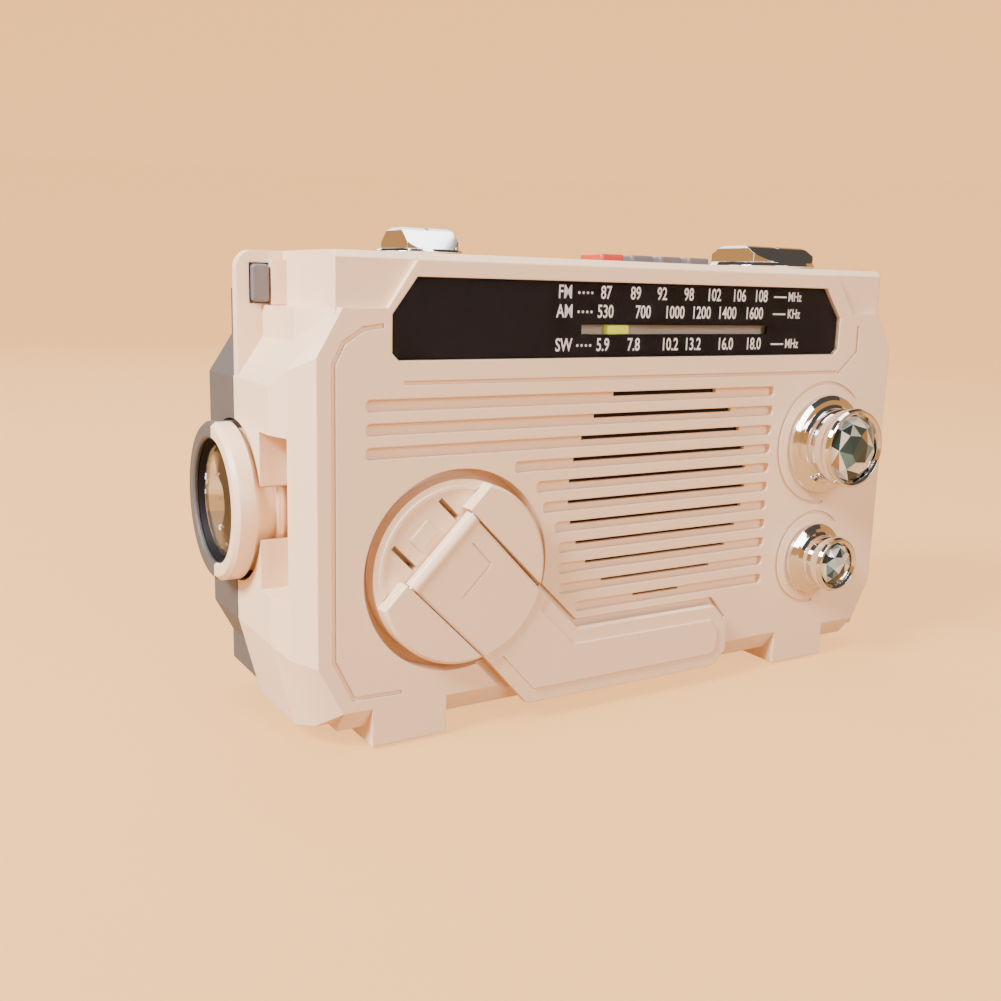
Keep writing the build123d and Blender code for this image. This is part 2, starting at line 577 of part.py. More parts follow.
def light_button():
    cap = fillet(block(-81.3, -77.4, 9.2, 12.0, 95.8, 104.0).edges().filter_by(Axis.Y), 0.8)
    cap = fillet(cap.faces().sort_by(Axis.Y)[0].edges(), 0.5)
    return cap + block(-78.0, -66.5, 10.6, 12.0, 98.1, 100.9)


def light_switch():
    body = block(-70.4, -64.6, 14.6, 18.6, 99.2, 103.4)
    return body + block(-69.0, -66.8, 13.3, 14.7, 99.4, 100.8)


# ---- torch ----------------------------------------------------------------------------------

def light_reflector():
    return turned_x(LIGHT_Y, LIGHT_Z, [(15.3, -86.9), (15.3, -85.6), (5.4, -70.0), (3.4, -70.0), (3.4, -71.0),
                                       (5.0, -73.4), (9.6, -79.0), (13.6, -85.2), (14.0, -86.9)])


def light_ring():
    return turned_x(LIGHT_Y, LIGHT_Z, [(15.4, -87.0), (15.4, -88.8), (14.0, -88.8), (13.2, -87.0)])


def light_lens():
    return turned_x(LIGHT_Y, LIGHT_Z, [(0, -88.9), (6.0, -88.8), (11.0, -88.2), (12.9, -87.6), (12.9, -87.05), (0, -87.05)])


def light_board():
    board = rod_x(LIGHT_Y, LIGHT_Z, 7.0, -69.8, -68.3)
    return board + rod_x(LIGHT_Y, LIGHT_Z, 2.5, -73.5, -69.7)


# ---- electronics ----------------------------------------------------------------------------

def main_board():
    board = block(-9.0, 75.0, 8.5, 10.1, 10.0, 84.0)
    return board - block(-10, 20, 8, 11, 9, 40)


def board_parts():
    out = Part()
    for x0, x1, z0, z1, h in ((24, 34, 22, 32, 2.2), (38, 43, 20, 30, 8.0), (26, 40, 66, 76, 1.8),
                              (-4, 2, 66, 72, 5.0), (6, 18, 70, 78, 3.0), (42, 50, 40, 52, 3.2)):
        out += block(x0, x1, 8.45 - h, 8.45, z0, z1)
    for x in (24.0, 30.0, 36.0):
        out += rod_y(x, 15.0, 2.4, 1.0, 8.45)
    return out


def ferrite_rod():
    return rod_x(18.5, 90.0, 4.0, -58.0, 44.0)


def ferrite_coil():
    coil = Part()
    for x0, x1 in ((-50.0, -30.0), (18.0, 36.0)):
        coil += rod_x(18.5, 90.0, 5.2, x0, x1) - rod_x(18.5, 90.0, 4.05, x0 - 1, x1 + 1)
    return coil


def battery_cells():
    out = Part()
    for k in range(3):
        z = 20.6 + 15.0 * k
        flip = -1 if k % 2 else 1
        mid = (DOOR[0] + DOOR[1]) / 2
        out += rod_x(22.0, z, 7.2, mid - 24.6, mid + 24.6)
        out += rod_x(22.0, z, 2.6, mid + flip * 24.5, mid + flip * 25.4)
    return out


def battery_contacts():
    out = Part()
    for x in (DOOR[0] - 0.6, DOOR[1] + 0.2):
        out += block(x, x + 0.4, 17.0, 27.0, 15.0, 56.0)
    return out


def battery_door():
    x0, x1, z0, z1 = DOOR
    door = block(x0, x1, 30.6, REAR - 0.2, z0, z1)
    door -= rod_x(32.6, z0 - 0.4, 0.9, x0 - 1, x1 + 1)
    for k in range(5):
        door -= block(-22.0, -2.0, REAR - 0.7, 40, z1 - 12 + 2 * k, z1 - 11 + 2 * k)
    door += rod_x(31.3, z0 + 1.6, 0.9, x0 - 1.7, x1 + 1.7)
    return door


def solar_panel():
    return block(-60.0, 65.0, REAR - 0.95, REAR - 0.1, 66.0, 92.0)


def port_cover():
    x0, x1, z0, z1 = PORT
    cover = block(x0, x1, REAR - 1.5, REAR, z0, z1 - 0.8)
    cover = fillet(cover.edges().filter_by(Axis.Y).group_by(Axis.Z)[0], 1.5)
    return cover + rod_x(REAR - 0.75, z1 - 0.8, 0.75, x0, x1)


def port_board():
    x0, x1, z0, z1 = PORT
    return block(x0, x1, 17.0, 18.6, z0 - 2, z1 + 2)


def port_jacks():
    x0, x1, z0, z1 = PORT
    usb = block(34.5, 42.5, 18.6, 29.6, 26.0, 29.0) - block(35.1, 41.9, 20, 40, 26.6, 28.4)
    power = block(46.0, 54.0, 18.6, 29.6, 24.0, 32.0) - rod_y(50.0, 28.0, 2.9, 21, 40) + rod_y(50.0, 28.0, 0.9, 20, 29)
    phone = rod_y(57.0, 28.0, 2.8, 18.6, 29.6) - rod_y(57.0, 28.0, 1.8, 21, 40)
    return usb + power + phone


# ---- antenna --------------------------------------------------------------------------------

def antenna_base():
    base = rod_y(ANT_X, ANT_Z, 2.0, 21.5, 25.8) + rod_y(ANT_X, ANT_Z, 3.9, 25.5, 26.3)
    base += block(ANT_X - 2.6, ANT_X + 4.0, 26.2, 32.6, ANT_Z - 3.4, ANT_Z + 3.4)
    base -= block(ANT_X - 5, ANT_X + 5, 26.4, 40, ANT_Z - 1.9, ANT_Z + 1.9)
    base &= rod_y(ANT_X, ANT_Z, 3.9, 20, 40)
    return base + rod_z(ANT_X, ANT_Y, 0.75, ANT_Z - 3.2, ANT_Z + 3.2)


def antenna_outer():
    eye = rod_z(ANT_X, ANT_Y, 2.2, ANT_Z - 1.6, ANT_Z + 1.6)
    eye += block(ANT_X - 9, ANT_X, ANT_Y - 1.6, ANT_Y + 1.6, ANT_Z - 1.6, ANT_Z + 1.6)
    eye += rod_x(ANT_Y, ANT_Z, 2.7, ANT_X - 12, ANT_X - 5.2)
    return eye - rod_z(ANT_X, ANT_Y, 0.8, ANT_Z - 5, ANT_Z + 5) + antenna_tube(0)


def antenna_tube(k):
    """Section k of the telescope; the last one is solid and carries the tip."""
    outer = 3.0 - 0.6 * k
    x0, x1 = -50.0 - 1.5 * k, ANT_X - 12.0 - 3.0 * k
    tube = rod_x(ANT_Y, ANT_Z, outer, x0, x1)
    if k < 2:
        return tube - rod_x(ANT_Y, ANT_Z, outer - 0.55, x0 - 1, x1 + 1)
    return tube + rod_x(ANT_Y, ANT_Z, 2.9, x0 - 3.5, x0 + 0.1)


NODES = {
    "front_housing": front_housing, "rear_housing": rear_housing, "foot_pads": foot_pads,
    "case_screws": case_screws, "dial_window": dial_window, "dial_scale": dial_scale,
    "dial_light_bar": dial_light_bar, "dial_pointer": dial_pointer, "pointer_rail": pointer_rail,
    "grille_cloth": grille_cloth, "speaker_frame": speaker_frame, "speaker_cone": speaker_cone,
    "speaker_magnet": speaker_magnet, "crank_hub": crank_hub, "crank_hinge_pin": crank_hinge_pin,
    "crank_arm": crank_arm, "crank_shaft": crank_shaft, "crank_bushing": crank_bushing,
    "crank_gear": crank_gear, "idler_gear": idler_gear, "idler_pin": idler_pin,
    "gearbox_plate": gearbox_plate, "dynamo_housing": dynamo_housing, "dynamo_rotor": dynamo_rotor,
    "tuning_knob": tuning_knob, "tuning_jewel": tuning_jewel, "tuning_drum": tuning_drum,
    "tuning_capacitor": tuning_capacitor, "volume_knob": volume_knob, "volume_jewel": volume_jewel,
    "volume_pot": volume_pot, "key_board": key_board, "light_button": light_button,
    "light_reflector": light_reflector,
    "light_ring": light_ring, "light_lens": light_lens, "light_board": light_board,
    "main_board": main_board, "board_parts": board_parts, "ferrite_rod": ferrite_rod,
    "ferrite_coil": ferrite_coil, "battery_cells": battery_cells,
    "battery_contacts": battery_contacts, "battery_door": battery_door, "solar_panel": solar_panel,
    "port_cover": port_cover, "port_board": port_board, "port_jacks": port_jacks,
    "antenna_base": antenna_base, "antenna_outer": antenna_outer,
}

os.makedirs("parts", exist_ok=True)
for node, make in NODES.items():
    save(make(), node)
save(selector(SEL_L, 10.0, 13.0, 108.3), "function_selector")
save(selector(SEL_R, 14.4, 22.0, 108.7), "band_selector")
save(rotary_switch(SEL_L) + rotary_switch(SEL_R) + light_switch(), "switches")
for node, x in zip(("key_red", "key_two", "key_three", "key_four"), KEY_X):
    save(key(x), node)
for node, k in (("antenna_middle", 1), ("antenna_tip", 2)):
    save(antenna_tube(k), node)
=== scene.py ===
"""Hand-crank emergency radio: finishes, dial print and small visible pieces around the fixed frame."""

import json
import random
from math import pi, radians

import bpy
from mathutils import Matrix, Vector


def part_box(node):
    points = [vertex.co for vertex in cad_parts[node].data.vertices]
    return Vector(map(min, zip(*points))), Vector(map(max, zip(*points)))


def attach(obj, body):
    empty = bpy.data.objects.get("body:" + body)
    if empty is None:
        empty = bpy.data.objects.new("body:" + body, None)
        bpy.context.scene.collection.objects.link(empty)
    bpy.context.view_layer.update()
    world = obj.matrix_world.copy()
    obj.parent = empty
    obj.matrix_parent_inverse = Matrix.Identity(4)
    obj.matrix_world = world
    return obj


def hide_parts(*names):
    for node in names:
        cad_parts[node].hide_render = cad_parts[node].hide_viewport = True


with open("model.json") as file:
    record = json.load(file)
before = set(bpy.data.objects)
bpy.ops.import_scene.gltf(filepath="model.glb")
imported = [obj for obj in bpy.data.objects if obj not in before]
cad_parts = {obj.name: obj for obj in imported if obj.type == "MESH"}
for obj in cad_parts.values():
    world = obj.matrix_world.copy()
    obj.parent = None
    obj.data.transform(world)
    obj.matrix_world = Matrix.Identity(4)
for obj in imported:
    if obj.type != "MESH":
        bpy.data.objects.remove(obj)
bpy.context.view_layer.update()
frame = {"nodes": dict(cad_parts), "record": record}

bl_info = {
    "name": "Emergency Radio Finishes",
    "version": (1, 0, 0),
    "blender": (4, 5, 0),
    "location": "View3D > Sidebar > Radio",
    "description": "Finishes and small pieces for a hand-crank emergency radio",
    "category": "Object",
}

MM = 0.001
FINE_EDGE = 0.1 * MM      # softness of small moulded edges
SHARP_EDGE = 0.01 * MM    # softness of print and of cut or domed pieces


# ---- places read from the frame --------------------------------------------------------------

def centre(node):
    low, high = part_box(node)
    return (low + high) / 2


def front_of(node):
    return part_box(node)[0].y


# ---- settings ---------------------------------------------------------------------------------

def colour_prop(name, description, value):
    return bpy.props.FloatVectorProperty(name=name, description=description, subtype="COLOR", size=3,
                                         min=0.0, max=1.0, default=value)


def length_prop(name, description, value):
    return bpy.props.FloatProperty(name=name, description=description, default=value, unit="LENGTH")


class RADIO_PG_colours(bpy.types.PropertyGroup):
    case: colour_prop("Case", "Champagne plastic of the front shell", (0.86, 0.62, 0.42))
    rear: colour_prop("Rear", "Dark grey plastic of the rear shell", (0.075, 0.068, 0.066))
    dial: colour_prop("Dial", "Near-black dial plate", (0.008, 0.006, 0.008))
    print_ink: colour_prop("Print", "Pale ink on the dial", (0.86, 0.84, 0.80))
    pointer: colour_prop("Pointer", "Yellow-green pointer", (0.62, 0.68, 0.05))
    light_bar: colour_prop("Light bar", "Milky strip behind the pointer", (0.42, 0.36, 0.30))
    red_key: colour_prop("Red key", "Red key cap", (0.48, 0.045, 0.03))
    grey_key: colour_prop("Grey key", "Grey key caps", (0.13, 0.115, 0.125))
    floor: colour_prop("Floor", "Pale floor and backdrop", (0.95, 0.47, 0.155))


class RADIO_PG_sizes(bpy.types.PropertyGroup):
    letter: length_prop("Letter height", "Height of the dial's figures", 2.9 * MM)
    ink: length_prop("Ink thickness", "Thickness of the dial print", 0.05 * MM)
    edge: length_prop("Edge softness", "Radius of the softened moulded edges", 0.35 * MM)
    floor: length_prop("Floor size", "Width of the floor", 6.0)
    lens: bpy.props.FloatProperty(name="Focal length", description="Camera focal length in millimetres",
                                  default=39.3, min=10.0, max=200.0)


def colours():
    return bpy.context.scene.radio_colours


def sizes():
    return bpy.context.scene.radio_sizes


# ---- shared effects ---------------------------------------------------------------------------

def socket(group, name, kind, way, value=None):
    made = group.interface.new_socket(name=name, in_out=way, socket_type="NodeSocket" + kind)
    if value is not None:
        made.default_value = value
    return made


def node(tree, kind, **values):
    made = tree.nodes.new("ShaderNode" + kind)
    for name, value in values.items():
        setattr(made, name, value)
    return made


def math(tree, operation, first, second=None, clamp=False):
    made = node(tree, "Math", operation=operation, use_clamp=clamp)
    for k, value in enumerate((first, second)):
        if value is None:
            continue
        if hasattr(value, "is_linked") or hasattr(value, "links"):
            tree.links.new(value, made.inputs[k])
        else:
            made.inputs[k].default_value = value
    return made.outputs[0]


def noise(tree, vector, scale, detail=4.0, rough=0.55):
    made = node(tree, "TexNoise")
    tree.links.new(vector, made.inputs["Vector"])
    for name, value in (("Scale", scale), ("Detail", detail), ("Roughness", rough)):
        if hasattr(value, "links"):
            tree.links.new(value, made.inputs[name])
        else:
            made.inputs[name].default_value = value
    return made.outputs["Fac"]


def spread(tree, value, low, high):
    """Maps 0..1 to low..high."""
    made = node(tree, "MapRange")
    tree.links.new(value, made.inputs["Value"])
    for name, end in (("To Min", low), ("To Max", high)):
        if hasattr(end, "links"):
            tree.links.new(end, made.inputs[name])
        else:
            made.inputs[name].default_value = end
    return made.outputs[0]


def moulded_group():
    """Moulded or painted surface: colour drift, soft wear on edges, fine grain, rounded edges."""
    group = bpy.data.node_groups.new("moulded_surface", "ShaderNodeTree")
    for name, kind, value in (("Colour", "Color", (0.8, 0.8, 0.8, 1.0)), ("Drift", "Float", 0.06),
                              ("Wear", "Float", 0.15), ("Grain Scale", "Float", 2500.0),
                              ("Grain", "Float", 0.08), ("Roughness", "Float", 0.4),
                              ("Roughness Spread", "Float", 0.08), ("Edge", "Float", 0.00035)):
        socket(group, name, kind, "INPUT", value)
    for name, kind in (("Colour", "Color"), ("Roughness", "Float"), ("Normal", "Vector")):
        socket(group, name, kind, "OUTPUT")
    links = group.links
    given, out = node_io(group)
    place = node(group, "TexCoord").outputs["Object"]
    cloud = noise(group, place, 38.0, 5.0, 0.6)
    smudge = noise(group, place, 210.0, 4.0, 0.6)
    grain = noise(group, place, given.outputs["Grain Scale"], 2.0, 0.5)

    bevel = node(group, "Bevel", samples=6)
    links.new(given.outputs["Edge"], bevel.inputs["Radius"])
    geometry = node(group, "NewGeometry")
    dot = node(group, "VectorMath", operation="DOT_PRODUCT")
    links.new(bevel.outputs["Normal"], dot.inputs[0])
    links.new(geometry.outputs["Normal"], dot.inputs[1])
    bend = math(group, "SUBTRACT", 1.0, dot.outputs["Value"], clamp=True)
    edge = math(group, "MULTIPLY", bend, 5.0, clamp=True)
    worn = math(group, "MULTIPLY", edge, spread(group, smudge, 0.3, 1.0))
    worn = math(group, "MULTIPLY", worn, given.outputs["Wear"])

    light = node(group, "HueSaturation")
    links.new(given.outputs["Colour"], light.inputs["Color"])
    drift = math(group, "MULTIPLY", spread(group, cloud, -1.0, 1.0), given.outputs["Drift"])
    links.new(math(group, "ADD", 1.0, drift), light.inputs["Value"])
    mix = node(group, "Mix", data_type="RGBA")
    links.new(worn, mix.inputs["Factor"])
    links.new(light.outputs["Color"], mix.inputs["A"])
    mix.inputs["B"].default_value = (0.95, 0.90, 0.84, 1.0)
    links.new(mix.outputs["Result"], out.inputs["Colour"])

    rough = math(group, "MULTIPLY", spread(group, smudge, -1.0, 1.0), given.outputs["Roughness Spread"])
    links.new(math(group, "ADD", given.outputs["Roughness"], rough), out.inputs["Roughness"])
    bump = node(group, "Bump")
    bump.inputs["Distance"].default_value = 0.00006
    links.new(given.outputs["Grain"], bump.inputs["Strength"])
    links.new(grain, bump.inputs["Height"])
    links.new(bevel.outputs["Normal"], bump.inputs["Normal"])
    links.new(bump.outputs["Normal"], out.inputs["Normal"])
    return group


def node_io(group):
    return group.nodes.new("NodeGroupInput"), group.nodes.new("NodeGroupOutput")


def brushed_group():
    """Drawn or turned metal: fine streaks along one axis."""
    group = bpy.data.node_groups.new("drawn_metal", "ShaderNodeTree")
    for name, kind, value in (("Streaks", "Float", 0.25), ("Roughness", "Float", 0.25),
                              ("Roughness Spread", "Float", 0.12), ("Edge", "Float", 0.0002)):
        socket(group, name, kind, "INPUT", value)
    for name, kind in (("Roughness", "Float"), ("Normal", "Vector")):
        socket(group, name, kind, "OUTPUT")
    links = group.links
    given, out = node_io(group)
    place = node(group, "TexCoord").outputs["Object"]
    stretch = node(group, "Mapping")
    stretch.inputs["Scale"].default_value = (0.04, 1.0, 1.0)
    links.new(place, stretch.inputs["Vector"])
    streak = noise(group, stretch.outputs["Vector"], 3200.0, 3.0, 0.6)
    patch = noise(group, place, 90.0, 3.0, 0.5)
    rough = math(group, "MULTIPLY", spread(group, patch, -1.0, 1.0), given.outputs["Roughness Spread"])
    links.new(math(group, "ADD", given.outputs["Roughness"], rough, clamp=True), out.inputs["Roughness"])
    bevel = node(group, "Bevel", samples=6)
    links.new(given.outputs["Edge"], bevel.inputs["Radius"])
    bump = node(group, "Bump")
    bump.inputs["Distance"].default_value = 0.00002
    links.new(given.outputs["Streaks"], bump.inputs["Strength"])
    links.new(streak, bump.inputs["Height"])
    links.new(bevel.outputs["Normal"], bump.inputs["Normal"])
    links.new(bump.outputs["Normal"], out.inputs["Normal"])
    return group


def placed(tree, name):
    made = tree.nodes.new("ShaderNodeGroup")
    made.node_tree = bpy.data.node_groups[name]
    return made


def blank(name):
    material = bpy.data.materials.new(name)
    material.use_nodes = True
    return material, material.node_tree, material.node_tree.nodes["Principled BSDF"]


def moulded(name, colour, rough=0.4, drift=0.05, wear=0.1, grain=0.1, grain_scale=2500.0, rough_spread=0.06,
            edge=None, **shader):
    material, tree, bsdf = blank(name)
    surface = placed(tree, "moulded_surface")
    for key, value in (("Colour", (*colour, 1.0)), ("Drift", drift), ("Wear", wear), ("Grain", grain),
                       ("Grain Scale", grain_scale), ("Roughness", rough), ("Roughness Spread", rough_spread),
                       ("Edge", edge if edge is not None else sizes().edge)):
        surface.inputs[key].default_value = value
    tree.links.new(surface.outputs["Colour"], bsdf.inputs["Base Color"])
    tree.links.new(surface.outputs["Roughness"], bsdf.inputs["Roughness"])
    tree.links.new(surface.outputs["Normal"], bsdf.inputs["Normal"])
    for key, value in shader.items():
        bsdf.inputs[key.replace("_", " ")].default_value = value
    return material


def metal(name, colour, rough=0.2, streaks=0.2, rough_spread=0.08, edge=0.0002, **shader):
    material, tree, bsdf = blank(name)
    surface = placed(tree, "drawn_metal")
    for key, value in (("Streaks", streaks), ("Roughness", rough), ("Roughness Spread", rough_spread),
                       ("Edge", edge)):
        surface.inputs[key].default_value = value
    bsdf.inputs["Base Color"].default_value = (*colour, 1.0)
    bsdf.inputs["Metallic"].default_value = 1.0
    tree.links.new(surface.outputs["Roughness"], bsdf.inputs["Roughness"])
    tree.links.new(surface.outputs["Normal"], bsdf.inputs["Normal"])
    for key, value in shader.items():
        bsdf.inputs[key.replace("_", " ")].default_value = value
    return material


def clear(name, colour, rough=0.03, spread_by=0.05, **shader):
    """Clear moulding with faint handling marks in its polish."""
    material, tree, bsdf = blank(name)
    place = node(tree, "TexCoord").outputs["Object"]
    marks = noise(tree, place, 160.0, 5.0, 0.65)
    tree.links.new(spread(tree, marks, max(rough - 0.03, 0.0), rough + spread_by), bsdf.inputs["Roughness"])
    bsdf.inputs["Base Color"].default_value = (*colour, 1.0)
    bsdf.inputs["Transmission Weight"].default_value = 1.0
    bsdf.inputs["IOR"].default_value = 1.49
    for key, value in shader.items():
        bsdf.inputs[key.replace("_", " ")].default_value = value
    return material


def faceted(name):
    """Cut stone whose facets take their colour from the mesh; these colours are painted reflections and
    glints.
    """
    material, tree, bsdf = blank(name)
    facet = node(tree, "VertexColor", layer_name="facet")
    place = node(tree, "TexCoord").outputs["Object"]
    cloud = noise(tree, place, 700.0, 3.0, 0.5)
    # brightness of the painted facet reflections varies with a noise
    depth = node(tree, "HueSaturation")
    tree.links.new(facet.outputs["Color"], depth.inputs["Color"])
    tree.links.new(spread(tree, cloud, 0.75, 1.2), depth.inputs["Value"])
    tree.links.new(depth.outputs["Color"], bsdf.inputs["Base Color"])
    tree.links.new(spread(tree, cloud, 0.02, 0.07), bsdf.inputs["Roughness"])
    bsdf.inputs["Metallic"].default_value = 0.55
    bsdf.inputs["Coat Weight"].default_value = 1.0
    bsdf.inputs["Coat Roughness"].default_value = 0.02
    return material


def striped(name, dark, pale, scale, share, rough=0.3, axis="X"):
    """Thin pale lines on a dark ground, such as a solar panel's fingers."""
    material, tree, bsdf = blank(name)
    place = node(tree, "TexCoord").outputs["Object"]
    wave = node(tree, "TexWave", bands_direction=axis, wave_profile="SIN")
    tree.links.new(place, wave.inputs["Vector"])
    wave.inputs["Scale"].default_value = scale
    line = math(tree, "GREATER_THAN", wave.outputs["Fac"], share)
    cloud = noise(tree, place, 60.0, 4.0, 0.6)
    mix = node(tree, "Mix", data_type="RGBA")
    tree.links.new(line, mix.inputs["Factor"])
    mix.inputs["A"].default_value = (*dark, 1.0)
    mix.inputs["B"].default_value = (*pale, 1.0)
    tree.links.new(mix.outputs["Result"], bsdf.inputs["Base Color"])
    tree.links.new(spread(tree, cloud, rough - 0.06, rough + 0.08), bsdf.inputs["Roughness"])
    bsdf.inputs["Coat Weight"].default_value = 0.6
    return material


def woven(name, colour, scale=900.0):
    material, tree, bsdf = blank(name)
    place = node(tree, "TexCoord").outputs["Object"]
    warp = node(tree, "TexWave", bands_direction="X")
    weft = node(tree, "TexWave", bands_direction="Z")
    for wave in (warp, weft):
        tree.links.new(place, wave.inputs["Vector"])
        wave.inputs["Scale"].default_value = scale
        wave.inputs["Distortion"].default_value = 0.6
    height = math(tree, "MAXIMUM", warp.outputs["Fac"], weft.outputs["Fac"])
    # the weave is darker, at a third of its colour, where it is low: painted shade in the hollows between
    # threads
    mix = node(tree, "Mix", data_type="RGBA")
    tree.links.new(height, mix.inputs["Factor"])
    mix.inputs["A"].default_value = (*[c * 0.35 for c in colour], 1.0)
    mix.inputs["B"].default_value = (*colour, 1.0)
    tree.links.new(mix.outputs["Result"], bsdf.inputs["Base Color"])
    bump = node(tree, "Bump")
    bump.inputs["Distance"].default_value = 0.0001
    bump.inputs["Strength"].default_value = 0.5
    tree.links.new(height, bump.inputs["Height"])
    tree.links.new(bump.outputs["Normal"], bsdf.inputs["Normal"])
    bsdf.inputs["Roughness"].default_value = 0.9
    return material


# ---- modelling helpers ------------------------------------------------------------------------

def deselect():
    if bpy.context.object and bpy.context.object.mode != "OBJECT":
        bpy.ops.object.mode_set(mode="OBJECT")
    bpy.ops.object.select_all(action="DESELECT")


def apply_place(piece):
    """Puts the piece's place into its mesh, with its object at the origin."""
    deselect()
    piece.select_set(True)
    bpy.context.view_layer.objects.active = piece
    bpy.ops.object.transform_apply(location=True, rotation=True, scale=True)
    return piece


def named(piece, name, body, material, smooth=None):
    apply_place(piece)
    piece.name = name
    piece.data.name = name
    piece.data.materials.clear()
    piece.data.materials.append(material)
    if smooth is not None:
        bpy.ops.object.shade_smooth_by_angle(angle=radians(smooth))
    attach(piece, body)
    return piece


def apply_modifier(piece, kind, name="shape", **values):
    modifier = piece.modifiers.new(name, kind)
    for key, value in values.items():
        setattr(modifier, key, value)
    bpy.context.view_layer.objects.active = piece
    bpy.ops.object.modifier_apply(modifier=modifier.name)


def plate(low, high):
    """A block between two corners."""
    deselect()
    middle = (Vector(low) + Vector(high)) / 2
    bpy.ops.mesh.primitive_cube_add(size=1.0, location=middle)
    piece = bpy.context.object
    piece.scale = Vector(high) - Vector(low)
    return apply_place(piece)


def softened(piece, width):
    """Rounds the edges of a small piece by that width."""
    apply_modifier(piece, "BEVEL", width=width, segments=2, limit_method="ANGLE", angle_limit=radians(30))
    return piece


def disc(place, radius, depth, axis="Y", sides=48):
    deselect()
    bpy.ops.mesh.primitive_cylinder_add(vertices=sides, radius=radius, depth=depth, location=place)
    piece = bpy.context.object
    piece.rotation_euler = {"X": (0, pi / 2, 0), "Y": (pi / 2, 0, 0), "Z": (0, 0, 0)}[axis]
    return apply_place(piece)


def joined(pieces):
    deselect()
    for piece in pieces:
        piece.select_set(True)
    bpy.context.view_layer.objects.active = pieces[0]
    bpy.ops.object.join()
    return bpy.context.object


def lettering(text, place, height, ink, wide=0.74):
    """Raised print facing the dial side, centred on its place."""
    deselect()
    bpy.ops.object.text_add(location=place)
    words = bpy.context.object
    words.data.body = text
    words.data.align_x = "CENTER"
    words.data.align_y = "CENTER"
    words.data.size = height / 0.69
    words.data.extrude = ink / 2
    words.data.offset = height * 0.018
    words.data.resolution_u = 3
    words.rotation_euler = (pi / 2, 0, 0)
    words.scale = (wide, 1, 1)
    bpy.ops.object.convert(target="MESH")
    return apply_place(bpy.context.object)


# Painted reflections of the cut stones: white and pale teal facets for reflected light, near-black teal for
# dark reflections, orange for glints.
PAINTED_FACET_REFLECTIONS = ((0.006, 0.03, 0.04), (0.012, 0.06, 0.07), (0.10, 0.24, 0.27), (0.42, 0.55, 0.56),
               (0.86, 0.88, 0.87), (0.93, 0.93, 0.9), (0.40, 0.24, 0.09))


def paint_facet_reflections(piece, seed):
    """Gives each facet one of the painted reflection colours."""
    pick = random.Random(seed)
    layer = piece.data.color_attributes.new("facet", "FLOAT_COLOR", "CORNER")
    for face in piece.data.polygons:
        reflection = pick.choices(PAINTED_FACET_REFLECTIONS, weights=(3, 3, 3, 3, 4, 4, 1))[0]
        for corner in face.loop_indices:
            layer.data[corner].color = (*reflection, 1.0)


# ---- operators --------------------------------------------------------------------------------

MATERIALS = {}


